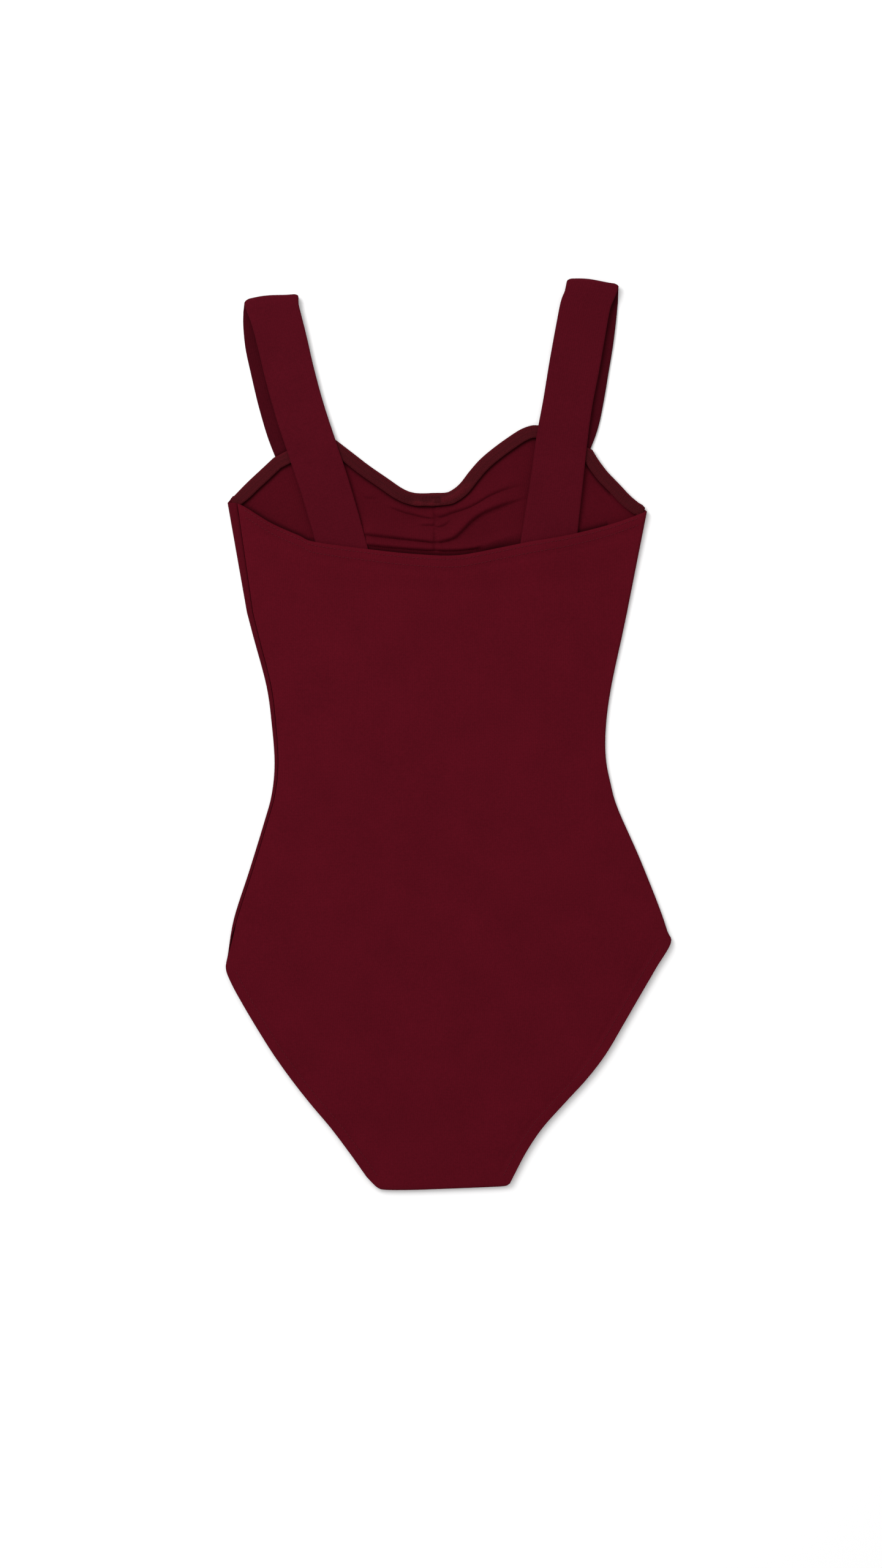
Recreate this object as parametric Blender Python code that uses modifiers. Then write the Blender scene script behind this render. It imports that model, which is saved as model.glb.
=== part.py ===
"""A tank leotard laid flat on its front, with its back up.

Lengths are in millimetres, +X to the right and +Y towards the straps as seen from above, and +Z up from the
surface that the garment lies on. The origin is on that surface, under the middle of the garment's outline.
"""
import math

import bpy
import numpy as np

MM = 0.001

# Cloth
WALL = 1.1             # one layer of jersey
HEM_WALL = 1.8         # a turned hem with its elastic
HEM_WIDTH = 10.3
HEM_FADE = 2.0         # the thicker wall of a hem thins out over this much
STRAP_WALL = 1.8       # a strap is a flattened tube, so it has two layers
SEAM_GAP = 0.3
EDGE_SEAM_GAP = 1.4    # where a side seam runs out on the folded edge itself, at the hips
SEAM_FLAT = 0.8        # a seam this far beyond the fold's curve lies on the flat
BODY_RISE = 3.9        # top of the back panel over the middle of the body
NECK_RISE = 5.5        # top of the back neckline, over the ends of the straps
CROTCH_HEIGHT = 4.2    # height of the folded crotch
RISE_REACH = 28.0      # the back reaches its rise this far in from the folded edges
RISE_START = 0.35      # where the back starts to rise to the neckline, as a share of the way to it
RISE_SPAN = 0.4        # and over how much of that way it rises
CROTCH_TURN = 12.0     # how far the back runs under the front at the crotch
FRONT_EDGE_CLEAR = 0.6  # the front's flat right edge stays this far inside the curve of the back's
FRONT_LEG_INSET = 1.0  # the front's leg edges lie this far inside the back's

# Widths of the body from the crotch up to the bust. At open 1 the two edges are loose, as at a leg opening,
# and at 0 they are joined in a side seam. A seam's place is measured round the folded edge from the outermost
# line of the body: above 0 it lies on top, below 0 underneath. height is that of the folded edge.
SECTION_COLUMNS = ("left_x", "left_y", "right_x", "right_y", "open", "height", "left_seam", "right_seam")
SECTIONS = (
    (-63.5, -339.0, 50.5, -339.0, 1.0, 3.9, 0.0, 0.0),
    (-77.0, -320.0, 60.5, -320.0, 1.0, 3.9, 0.0, 0.0),
    (-91.0, -301.5, 73.0, -301.5, 1.0, 3.9, 0.0, 0.0),
    (-107.0, -282.5, 90.0, -282.5, 1.0, 3.9, 0.0, 0.0),
    (-121.5, -264.0, 107.0, -264.0, 1.0, 3.9, 0.0, 0.0),
    (-135.0, -245.0, 121.5, -245.0, 1.0, 3.9, 0.0, 0.0),
    (-147.0, -226.0, 134.5, -223.0, 1.0, 3.9, 0.0, 0.0),
    (-158.0, -207.5, 147.5, -200.5, 1.0, 3.9, 0.0, 0.0),
    (-167.5, -190.0, 160.0, -179.0, 1.0, 3.9, 0.0, 0.0),
    (-170.8, -179.0, 170.5, -160.5, 0.5, 3.9, 0.0, 0.0),
    (-169.2, -169.5, 168.0, -151.0, 0.0, 3.7, 0.9, -1.2),
    (-164.5, -141.5, 161.5, -132.0, 0.0, 3.3, 3.6, -3.9),
    (-152.5, -104.0, 146.5, -94.5, 0.0, 3.0, 3.5, -3.9),
    (-141.0, -66.5, 130.0, -57.0, 0.0, 3.0, 3.5, -3.9),
    (-135.5, -46.0, 124.5, -38.0, 0.0, 3.0, 3.5, -3.9),
    (-133.3, -22.0, 120.7, -17.0, 0.0, 3.0, 3.7, -3.9),
    (-135.5, 8.0, 121.0, 8.0, 0.0, 3.0, 4.1, -3.9),
    (-139.5, 37.0, 125.0, 37.0, 0.0, 3.0, 4.5, -3.9),
    (-149.5, 74.5, 133.0, 74.5, 0.0, 3.2, 5.2, -4.0),
    (-154.5, 93.5, 137.0, 93.5, 0.0, 3.4, 5.6, -4.1),
)
ARM_CORNERS = (-169.3, 177.5, 152.3, 171.0, 0.0, 5.2, 9.0, -5.6)

# The fold line at the crotch
CROTCH_LINE = ((-57.8, -344.8), (-54.5, -347.6), (-49.0, -349.2), (-30.0, -349.4), (0.0, -348.4), (30.0, -347.2),
               (42.0, -346.5), (45.5, -345.8), (47.8, -344.0))

CROTCH_ENDS = (-349.4, -346.6)   # the fold line's height at each end, but for its round corners
CROTCH_ROUND = 10.0              # the corners' roundness is gone this far in

# The back neckline, from the left armhole corner to the right one
BACK_NECK = ((-169.3, 177.5), (-158.9, 175.8), (-135.8, 161.9), (-113.7, 152.0), (-102.9, 147.6), (-61.6, 141.9),
             (-26.3, 138.2), (6.6, 137.2), (39.5, 143.0), (61.1, 147.4), (94.0, 153.2), (126.9, 161.7),
             (152.3, 171.0))

# The top edge of the front in five stretches, from left to right
FRONT_TOP = {
    "left_armhole": ((-169.3, 177.5), (-155.1, 192.2), (-143.6, 203.0), (-134.0, 212.0)),
    "left_strap": ((-134.0, 212.0), (-95.0, 232.4)),
    "neckline": ((-95.0, 232.4), (-85.5, 225.1), (-73.3, 215.7), (-61.1, 206.3), (-47.5, 196.9), (-35.3, 188.6),
                 (-26.3, 185.2), (-15.0, 184.8), (-2.5, 185.2), (2.8, 187.2), (8.9, 192.2), (16.0, 201.4),
                 (24.4, 210.9), (35.7, 220.4), (48.9, 229.8), (56.9, 234.5), (64.5, 236.9), (71.9, 236.6)),
    "right_strap": ((71.9, 236.6), (110.5, 218.0)),
    "right_armhole": ((110.5, 218.0), (114.7, 211.0), (121.7, 201.6), (130.7, 192.2), (139.6, 182.8),
                      (148.6, 175.2), (152.3, 171.0)),
}
# How far along each stretch the front panel has a column of points
FRONT_COLUMNS = {
    "left_armhole": (0.18, 0.45, 0.72),
    "left_strap": (0.0, 0.5),
    "neckline": (0.0, 0.08, 0.17, 0.26, 0.33, 0.39, 0.44, 0.48, 0.52, 0.56, 0.61, 0.67, 0.74, 0.82, 0.91),
    "right_strap": (0.0, 0.5),
    "right_armhole": (0.0, 0.22, 0.44, 0.66, 0.86),
}

# Gathers at the centre of the front, as soft ridges that lift off the surface. Each runs on a curve from the
# gathering seam through a middle point to its far end.
GATHER_X = -10.0
GATHER_PINCH = 0.35    # share of a ridge's height that the stitching holds down
GATHER_PINCH_WIDTH = 4.0
GATHER_FADE = 0.35     # a ridge keeps its height over this share of its length
GATHER_STEPS = 25      # points on a ridge's curve
GATHER_COLUMNS = ("start", "middle", "end", "height", "half_width")
GATHERS = (
    ((-12.0, 170.5), (-34.0, 172.5), (-66.0, 187.0), 2.2, 3.4),
    ((-12.0, 156.5), (-36.0, 158.5), (-70.0, 165.0), 3.0, 4.6),
    ((-12.0, 143.8), (-36.0, 145.0), (-62.0, 147.5), 1.6, 3.0),
    ((-8.0, 156.0), (20.0, 173.0), (60.0, 188.0), 3.2, 5.0),
    ((-6.0, 173.0), (14.0, 180.0), (50.0, 199.0), 2.2, 3.8),
    ((-8.0, 142.5), (16.0, 146.0), (52.0, 168.0), 2.0, 4.4),
)

# Straps, each from the front edge up to the shoulder fold and then down over the back to its end inside the back
# neckline. A row is a cross section: the middle of the band, the turn of its width from the X axis in degrees,
# the height of its middle surface and its width.
STRAP_COLUMNS = ("x", "y", "turn", "z", "width")
STRAPS = {
    "strap_left": {
        "front": ((-115.9, 222.0, 27.6, 0.9, 38.4), (-121.4, 236.4, 18.0, 0.9, 38.0),
                  (-127.4, 257.3, 15.0, 0.9, 38.0), (-132.8, 280.1, 12.0, 0.9, 38.0),
                  (-136.8, 298.5, 8.0, 0.9, 38.0), (-138.2, 314.9, 5.0, 0.9, 38.5),
                  (-137.4, 326.0, 5.5, 0.9, 40.0)),
        "fold": (-135.8, 335.2, 6.0, 42.0),
        "back": ((-134.4, 326.5, 9.0, 5.6, 40.0), (-131.6, 317.5, 12.0, 5.2, 38.6),
                 (-127.2, 300.3, 14.0, 4.7, 38.4), (-121.7, 276.8, 16.0, 4.2, 38.2),
                 (-114.0, 248.6, 18.0, 4.0, 38.0), (-104.8, 220.4, 18.0, 4.1, 38.0),
                 (-95.4, 192.2, 17.0, 4.1, 38.0), (-87.6, 166.0, 15.0, 3.4, 38.0),
                 (-83.2, 150.0, 13.0, 2.4, 38.0), (-80.6, 140.5, 12.0, 2.4, 38.0),
                 (-78.6, 131.0, 12.0, 2.4, 38.0)),
    },
    "strap_right": {
        "front": ((91.4, 227.8, -25.7, 0.9, 39.6), (96.8, 240.9, -15.0, 0.9, 38.0),
                  (100.2, 256.9, -11.0, 0.9, 38.0), (103.9, 278.8, -9.0, 0.9, 38.0),
                  (107.1, 298.0, -7.0, 0.9, 38.0), (109.4, 316.4, -6.0, 0.9, 38.2),
                  (110.7, 334.0, -5.0, 0.9, 39.0)),
        "fold": (110.7, 347.2, -3.5, 40.0),
        "back": ((108.6, 338.0, -5.0, 5.6, 39.0), (105.0, 328.5, -8.0, 5.2, 38.4),
                 (101.4, 309.7, -10.0, 4.8, 38.6), (96.4, 281.5, -11.0, 4.2, 38.8),
                 (91.4, 253.3, -10.0, 4.0, 38.0), (86.9, 225.1, -8.0, 4.1, 39.4),
                 (83.5, 196.9, -7.0, 4.1, 40.2), (79.7, 168.7, -7.0, 3.4, 41.6),
                 (77.9, 154.5, -7.0, 2.4, 42.6), (76.6, 144.5, -7.0, 2.4, 43.0),
                 (75.2, 133.5, -7.0, 2.4, 43.0)),
    },
}
STRAP_ACROSS = (-1.0, -0.92, -0.45, 0.0, 0.45, 0.92, 1.0)
FOLD_ANGLES = (-60, -30, 0, 30, 60)

# Columns and rows of points
FRONT_WRAP = (0.0, 0.25, 0.5, 0.75, 1.0)   # round the curve of the folded edge
FRONT_LEAD = 0.25                          # least length of the wall between the seam and that curve
FRONT_CURVE = 0.8                          # least length of the curve
FRONT_FOOT = 1.3                           # flat step between the curve and the front's own columns
BACK_WRAP = (0.0, 0.15, 0.35, 0.55, 0.75, 1.0)
BACK_LEAD = (0.0, 1.2, 2.6)                # beside the left seam
BACK_FLAT = (1.0, 1.2)                     # least flat beyond the right fold's curve, and beyond the right seam
BACK_COLUMNS = 12
CROTCH_ARC = (-1.0, -0.6, -0.2, 0.2, 0.6, 1.0)
FRONT_RISE = (0.25, 0.46, 0.54, 0.58, 0.62, 0.66, 0.7, 0.74, 0.78, 0.82, 0.86, 0.9, 0.95, 1.0)   # to the hem
FRONT_HEM_ROWS = (9.6, 7.2, 4.8, 2.4, 0.0)                                                      # to the top edge
BACK_RISE = (0.25, 0.45, 0.6, 0.7, 0.8, 0.9, 1.0)                                               # to the neckline
ARMHOLE_SLOPES = (1.35, 1.1)    # rise of the front's top edge beside its left and right corners
HEM_SEAT = 1.9                  # bottom of a turned hem over the outer surface of the front
HEM_LAYER = 1.2

# Colours as linear red, green and blue
JERSEY = (0.088, 0.0075, 0.0125)
STRAP_CLOTH = (0.078, 0.0072, 0.0118)
HEM_CLOTH = (0.075, 0.0085, 0.0120)


def cloth(name, colour, roughness):
    """A cloth material of one colour."""
    material = bpy.data.materials.new(name)
    material.use_nodes = True
    shader = material.node_tree.nodes["Principled BSDF"]
    shader.inputs["Base Color"].default_value = (*colour, 1.0)
    shader.inputs["Roughness"].default_value = roughness
    shader.inputs["Metallic"].default_value = 0.0
    return material


def smooth_step(t):
    """0 below 0, 1 above 1 and a soft rise between."""
    t = np.clip(t, 0.0, 1.0)
    return t * t * (3.0 - 2.0 * t)


def along(points, share):
    """The point at a share of the length of a chain of points."""
    points = np.asarray(points, float)
    steps = np.linalg.norm(np.diff(points, axis=0), axis=1)
    length = np.concatenate([[0.0], np.cumsum(steps)]) / steps.sum()
    return np.array([np.interp(share, length, column) for column in points.T])


def roll(distance, height):
    """Round a folded edge: how far in and how high a point lies, at a distance from the outermost line."""
    radius = height / 2
    quarter = math.pi * radius / 2
    turn = np.clip(distance, -quarter, quarter) / radius
    beyond = max(abs(distance) - quarter, 0.0)
    return radius * (1 - math.cos(turn)) + beyond, radius * (1 + math.sin(turn))


def section_at(row, share):
    """The section of a table row, or one between the last row and the armhole corners."""
    values = np.asarray(SECTIONS[row], float)
    if share > 0:
        values = values + (np.array(ARM_CORNERS) - values) * share
    return dict(zip(SECTION_COLUMNS, values))


def crotch_point(across, inset):
    """A point on the folded crotch, inset from its fold line. The leg edges spread as they rise."""
    x, y = along(CROTCH_LINE, across)
    straight = CROTCH_ENDS[0] + (CROTCH_ENDS[1] - CROTCH_ENDS[0]) * across
    y += (straight - y) * smooth_step(inset / CROTCH_ROUND)
    first, second = SECTIONS[0], SECTIONS[1]
    left_x, right_x = CROTCH_LINE[0][0], CROTCH_LINE[-1][0]
    heights = (CROTCH_LINE[0][1], first[1], second[1])
    left = np.interp(heights[0] + inset, heights, (0.0, first[0] - left_x, second[0] - left_x))
    right = np.interp(heights[0] + inset, heights, (0.0, first[2] - right_x, second[2] - right_x))
    return np.array([x + (1 - across) * left + across * right, y + inset])


def gather_height(x, y):
    """How far the gathered front lifts off the surface: the sum of its ridges, held down at the seam."""
    total = 0.0
    for row in GATHERS:
        ridge = dict(zip(GATHER_COLUMNS, row))
        t = np.linspace(0.0, 1.0, GATHER_STEPS)[:, None]
        start, middle, end = (np.array(ridge[key]) for key in ("start", "middle", "end"))
        curve = (1 - t) ** 2 * start + 2 * t * (1 - t) * middle + t ** 2 * end
        gap = np.hypot(curve[:, 0] - x, curve[:, 1] - y)
        nearest = int(np.argmin(gap))
        fade = 1.0 - smooth_step((t[nearest, 0] - GATHER_FADE) / (1.0 - GATHER_FADE))
        total += ridge["height"] * fade * math.exp(-(gap[nearest] / ridge["half_width"]) ** 2)
    held = 1.0 - GATHER_PINCH * math.exp(-((x - GATHER_X) / GATHER_PINCH_WIDTH) ** 2)
    return total * held


def edge_point(section, side, distance):
    """A point round the folded edge of one side: its place in plan, its height and its inset."""
    left = np.array([section["left_x"], section["left_y"]])
    right = np.array([section["right_x"], section["right_y"]])
    across = (right - left) / np.linalg.norm(right - left)
    inset, z = roll(distance, section["height"])
    inset -= section["open"] * section["height"] / 2
    if side == "left":
        return left + across * inset, z, inset
    return right - across * inset, z, inset


def quarter_of(section):
    """The length of a quarter turn round the folded edge."""
    return math.pi * section["height"] / 4


def seam_gap(seam, section):
    """The gap at a side seam, which is wider where the seam lies on the curve of the folded edge."""
    return SEAM_GAP if abs(seam) > quarter_of(section) + SEAM_FLAT else EDGE_SEAM_GAP


def front_sides(section):
    """The columns of points that wrap the front's left edge, and where it ends at the right."""
    quarter = quarter_of(section)
    loose = section["open"] * (quarter + FRONT_LEG_INSET)
    start = section["left_seam"] - seam_gap(section["left_seam"], section) / 2 - loose
    curve_top = min(start - FRONT_LEAD, quarter)
    curve_foot = min(-quarter, curve_top - FRONT_CURVE)
    curve = [curve_top + (curve_foot - curve_top) * share for share in FRONT_WRAP]
    wrap = [start, *curve, curve_foot - FRONT_FOOT]
    end = section["right_seam"] - seam_gap(section["right_seam"], section) / 2 - loose
    return wrap, min(end, -quarter - FRONT_EDGE_CLEAR)


def back_sides(section):
    """Where the back starts at the left, and the columns of points that wrap its right edge."""
    loose = section["open"] * quarter_of(section)
    start = section["left_seam"] + seam_gap(section["left_seam"], section) / 2 + loose
    end = section["right_seam"] + seam_gap(section["right_seam"], section) / 2 + loose
    flat = max(quarter_of(section) + BACK_FLAT[0], end + BACK_FLAT[1])
    return [start + lead for lead in BACK_LEAD], [flat + (end - flat) * share for share in BACK_WRAP]


def up_the_side(side, rise):
    """A step up the side edge of the body, in line with its stretch below the armhole corner."""
    x, y = (0, 1) if side == "left" else (2, 3)
    return rise * np.array([(ARM_CORNERS[x] - SECTIONS[-1][x]) / (ARM_CORNERS[y] - SECTIONS[-1][y]), 1.0])


def front_top_columns():
    """The points of the front's top edge at its columns, and the column where each stretch starts."""
    corners = section_at(-1, 1.0)
    wrap, right_end = front_sides(corners)
    first, _, inset = edge_point(corners, "left", wrap[-1])
    points = [first + (0.0, ARMHOLE_SLOPES[0] * inset)]
    starts = {}
    for stretch, shares in FRONT_COLUMNS.items():
        starts[stretch] = len(points)
        points += [along(FRONT_TOP[stretch], share) for share in shares]
    last, _, inset = edge_point(corners, "right", right_end)
    points.append(last + up_the_side("right", ARMHOLE_SLOPES[1] * inset))
    return np.array(points), starts


def inward(points, left_end, right_end):
    """Unit directions in plan from an edge into the cloth. Those at its two ends are given."""
    steps = np.diff(points, axis=0)
    normals = np.stack([steps[:, 1], -steps[:, 0]], axis=1)
    normals /= np.linalg.norm(normals, axis=1)[:, None]
    joined = normals[:-1] + normals[1:]
    joined /= np.linalg.norm(joined, axis=1)[:, None]
    ends = [end / np.linalg.norm(end) for end in (left_end, right_end)]
    return np.concatenate([[ends[0]], joined, [ends[1]]])


def front_grid():
    """The outer surface of the front: rows from the crotch up, columns from the left seam to the right one."""
    top, starts = front_top_columns()
    shares = (top[:, 0] - top[0, 0]) / (top[-1, 0] - top[0, 0])
    rows, hems = [], []

    def section_row(section, rise=0.0):
        wrap, right_end = front_sides(section)
        row, insets = [], []
        for distance in wrap[:-1]:
            point, z, inset = edge_point(section, "left", distance)
            lift = ARMHOLE_SLOPES[0] * inset * rise if distance < 0 else 0.0
            row.append((point[0], point[1] + lift, z))
            insets.append(inset)
        base, _, left_inset = edge_point(section, "left", wrap[-1])
        end, _, right_inset = edge_point(section, "right", right_end)
        width = np.linalg.norm(end - base)
        for share in shares:
            point = base + (end - base) * share
            row.append((point[0], point[1], 0.0))
            insets.append(min(left_inset + width * share, right_inset + width * (1 - share)))
        return row, insets

    first_section = section_at(0, 0.0)
    row, insets = section_row(first_section)
    width = first_section["right_x"] - first_section["left_x"]
    across = [(point[0] - first_section["left_x"]) / width for point in row]
    start = CROTCH_HEIGHT / 2 + CROTCH_TURN + SEAM_GAP
    rows.append([(*crotch_point(share, start), 0.0) for share in across])
    hems.append([hem_share(inset) for inset in insets])
    for index in range(1, len(SECTIONS)):
        section = section_at(index, 0.0)
        row, insets = section_row(section)
        rows.append(row)
        hems.append([hem_share(inset) * section["open"] for inset in insets])

    wraps = len(FRONT_WRAP) + 1
    side_height = ARM_CORNERS[1] - SECTIONS[-1][1]
    low = np.array([point[:2] for point in rows[-1][wraps:]])
    into = inward(top, low[0] - top[0], low[-1] - top[-1])
    hem_line = top + into * FRONT_HEM_ROWS[0]
    turned = 1 - FRONT_HEM_ROWS[0] / side_height
    for share in FRONT_RISE:
        row, _ = section_row(section_at(-1, share * turned), (share * turned) ** 2)
        plan = low + (hem_line - low) * share
        rows.append(row[:wraps] + [(x, y, gather_height(x, y)) for x, y in plan])
    for depth in FRONT_HEM_ROWS[1:]:
        share = 1 - depth / side_height
        row, _ = section_row(section_at(-1, share), share ** 2)
        rows.append(row[:wraps] + [(x, y, gather_height(x, y)) for x, y in top + into * depth])
    hems += [[0.0] * len(rows[0])] * (len(FRONT_RISE) + len(FRONT_HEM_ROWS) - 1)
    return np.array(rows), np.array(hems), {name: column + wraps for name, column in starts.items()}


def hem_share(inset):
    """1 on a turned hem, 0 inside it."""
    return float(np.clip((HEM_WIDTH + HEM_FADE - inset) / HEM_FADE, 0.0, 1.0))


def back_grid():
    """The outer surface of the back: rows from its seam under the crotch, round the fold and up."""
    neck = np.array(BACK_NECK)
    rows, hems = [], []

    def section_row(section, rise, neckline):
        left_wrap, right_wrap = back_sides(section)
        line_left = np.array([section["left_x"], section["left_y"]])
        line_right = np.array([section["right_x"], section["right_y"]])
        width = np.linalg.norm(line_right - line_left)
        places = [edge_point(section, "left", distance) for distance in left_wrap]
        inner = (HEM_WIDTH, width - HEM_WIDTH)
        spread = np.linspace(inner[0] + HEM_FADE, inner[1] - HEM_FADE, BACK_COLUMNS)
        for inset in (inner[0], *spread, inner[1]):
            point = line_left + (line_right - line_left) * inset / width
            places.append((point, section["height"], min(inset, width - inset)))
        top_side = len(places) + 1
        for distance in right_wrap:
            point, z, inset = edge_point(section, "right", distance)
            lift = ARMHOLE_SLOPES[1] * inset * neckline ** 2 if distance < 0 else 0.0
            places.append((point, z, inset, up_the_side("right", lift)))
        row = []
        for i, (point, z, inset, *step) in enumerate(places):
            if i < top_side:
                z += (rise - section["height"]) * smooth_step(inset / RISE_REACH)
            share = (point[0] - line_left[0]) / (line_right[0] - line_left[0])
            corner_y = line_left[1] + (line_right[1] - line_left[1]) * share
            neck_x = neck[0, 0] + (neck[-1, 0] - neck[0, 0]) * share
            chord_y = neck[0, 1] + (neck[-1, 1] - neck[0, 1]) * share
            drop = np.interp(neck_x, neck[:, 0], neck[:, 1]) - chord_y
            x, y = point + (step[0] if step else 0.0)
            row.append((x, y + drop * neckline, z))
        return row, [place[2] for place in places]

    first_section = section_at(0, 0.0)
    row, insets = section_row(first_section, BODY_RISE, 0.0)
    width = first_section["right_x"] - first_section["left_x"]
    across = [(point[0] - first_section["left_x"]) / width for point in row]
    quarter = math.pi * CROTCH_HEIGHT / 4
    for distance in (-quarter - CROTCH_TURN, -quarter - CROTCH_TURN / 2, *(quarter * t for t in CROTCH_ARC)):
        inset, z = roll(distance, CROTCH_HEIGHT)
        rows.append([(*crotch_point(share, inset), z) for share in across])
        hems.append([hem_share(side_inset) for side_inset in insets])
    for index in range(len(SECTIONS)):
        section = section_at(index, 0.0)
        row, insets = section_row(section, BODY_RISE, 0.0)
        rows.append(row)
        hems.append([hem_share(inset) * section["open"] for inset in insets])
    for share in BACK_RISE:
        rise = BODY_RISE + (NECK_RISE - BODY_RISE) * smooth_step((share - RISE_START) / RISE_SPAN)
        row, _ = section_row(section_at(-1, share), rise, share)
        rows.append(row)
    grid = np.array(rows)
    top_rows = len(BACK_RISE)
    for r in range(top_rows):
        depth = np.linalg.norm(grid[-1, :, :2] - grid[-top_rows + r, :, :2], axis=1)
        hems.append([hem_share(value) for value in depth])
    return grid, np.array(hems)


def strap_grid(strap):
    """The middle surface of a strap: its front stretch, the half turn at the shoulder, and its back stretch."""
    x, y, turn, width = strap["fold"]
    low, high = strap["front"][-1][3], strap["back"][0][3]
    radius = (high - low) / 2
    slope = math.radians(turn)
    fold = []
    for angle in FOLD_ANGLES:
        out = radius * (math.cos(math.radians(angle)) - 1)
        fold.append((x - math.sin(slope) * out, y + math.cos(slope) * out, turn,
                     (low + high) / 2 + radius * math.sin(math.radians(angle)), width))
    grid = []
    for row in (*strap["front"], *fold, *strap["back"]):
        part = dict(zip(STRAP_COLUMNS, row))
        way = np.array([math.cos(math.radians(part["turn"])), math.sin(math.radians(part["turn"])), 0.0])
        middle = np.array([part["x"], part["y"], part["z"]])
        grid.append([middle + way * part["width"] / 2 * share for share in STRAP_ACROSS])
    return np.array(grid)


def wall_object(name, grid, thickness, offset, material, facing_down=False, hems=None, thin=None):
    """An object whose wall stands on a grid of points. Where hems is given, it is thin outside them."""
    rows, columns = grid.shape[:2]
    index = np.arange(rows * columns).reshape(rows, columns)
    faces = np.stack([index[:-1, :-1], index[:-1, 1:], index[1:, 1:], index[1:, :-1]], axis=-1).reshape(-1, 4)
    if facing_down:
        faces = faces[:, ::-1]
    mesh = bpy.data.meshes.new(name)
    mesh.from_pydata((grid.reshape(-1, 3) * MM).tolist(), [], faces.tolist())
    mesh.materials.append(material)
    item = bpy.data.objects.new(name, mesh)
    collection.objects.link(item)
    shell = item.modifiers.new("wall", "SOLIDIFY")
    shell.thickness = thickness * MM
    shell.offset = offset
    shell.use_even_offset = False
    if hems is not None:
        group = item.vertex_groups.new(name="hem")
        for vertex, share in enumerate(hems.reshape(-1)):
            group.add([vertex], float(share), "REPLACE")
        shell.vertex_group = "hem"
        shell.thickness_vertex_group = thin / thickness
    mesh.shade_smooth()
    return item


for old in list(bpy.data.objects):
    bpy.data.objects.remove(old, do_unlink=True)
collection = bpy.data.collections.new("tank_leotard")
bpy.context.scene.collection.children.link(collection)

jersey = cloth("jersey", JERSEY, 0.85)
strap_cloth = cloth("strap_cloth", STRAP_CLOTH, 0.85)
hem_cloth = cloth("hem_cloth", HEM_CLOTH, 0.9)

front, front_hems, stretch_start = front_grid()
wall_object("front_panel", front, HEM_WALL, -1.0, jersey, facing_down=True, hems=front_hems, thin=WALL)
back, back_hems = back_grid()
wall_object("back_panel", back, HEM_WALL, -1.0, jersey, hems=back_hems, thin=WALL)

# The turned hems lie on the inside of the front, on its own points
hem_rows = front[-len(FRONT_HEM_ROWS):]
hem_stretches = {
    "armhole_hem_left": ("left_armhole", "left_strap"),
    "neck_hem": ("neckline", "right_strap"),
    "armhole_hem_right": ("right_armhole", None),
}
for name, (first, after) in hem_stretches.items():
    end = stretch_start[after] + 1 if after else front.shape[1] - 1
    hem = hem_rows[:, stretch_start[first]:end].copy()
    hem[..., 2] += HEM_SEAT
    wall_object(name, hem, HEM_LAYER, 1.0, hem_cloth)

for name, strap in STRAPS.items():
    wall_object(name, strap_grid(strap), STRAP_WALL, 0.0, strap_cloth)
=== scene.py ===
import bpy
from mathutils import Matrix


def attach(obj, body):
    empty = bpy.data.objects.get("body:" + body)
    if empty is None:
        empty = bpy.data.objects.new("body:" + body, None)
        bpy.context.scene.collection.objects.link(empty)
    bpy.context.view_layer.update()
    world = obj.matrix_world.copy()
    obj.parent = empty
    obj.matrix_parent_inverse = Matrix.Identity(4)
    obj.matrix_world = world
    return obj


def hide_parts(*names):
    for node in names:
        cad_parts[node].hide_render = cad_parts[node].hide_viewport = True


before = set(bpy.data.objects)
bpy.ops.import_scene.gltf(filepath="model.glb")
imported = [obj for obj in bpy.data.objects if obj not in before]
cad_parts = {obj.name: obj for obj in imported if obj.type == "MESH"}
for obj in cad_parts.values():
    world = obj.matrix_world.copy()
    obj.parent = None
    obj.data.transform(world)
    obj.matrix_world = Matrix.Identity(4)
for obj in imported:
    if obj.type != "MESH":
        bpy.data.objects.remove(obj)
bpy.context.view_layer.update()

import math
import bpy
import mathutils
import numpy as np

# A leotard lies on its front on a pale floor. All lengths in the tables are in millimetres.
mm = 0.001

# what the whole garment shares
garment = {
    "wall": 1.0,            # one layer of jersey
    "hemWall": 1.75,        # a turned hem with its elastic
    "hemWidth": 10.3,
    "hemEnd": 2.0,          # over which the thick hem thins to one layer
    "seamGap": 0.3,
    "edgeSeamGap": 1.4,     # where a side seam runs out on the folded edge
    "bodyRise": 3.9,        # height of the back over the floor
    "neckRise": 5.5,        # the same at the back neckline
    "crotchHeight": 4.2,
    "crotchTurn": 12.0,     # how far the back goes on under the crotch
    "legInset": 1.0,        # how much further in than the back's the front's leg edge lies
    "edgeClear": 0.6,       # least distance of the front's right edge from the curve of the fold
}

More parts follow.
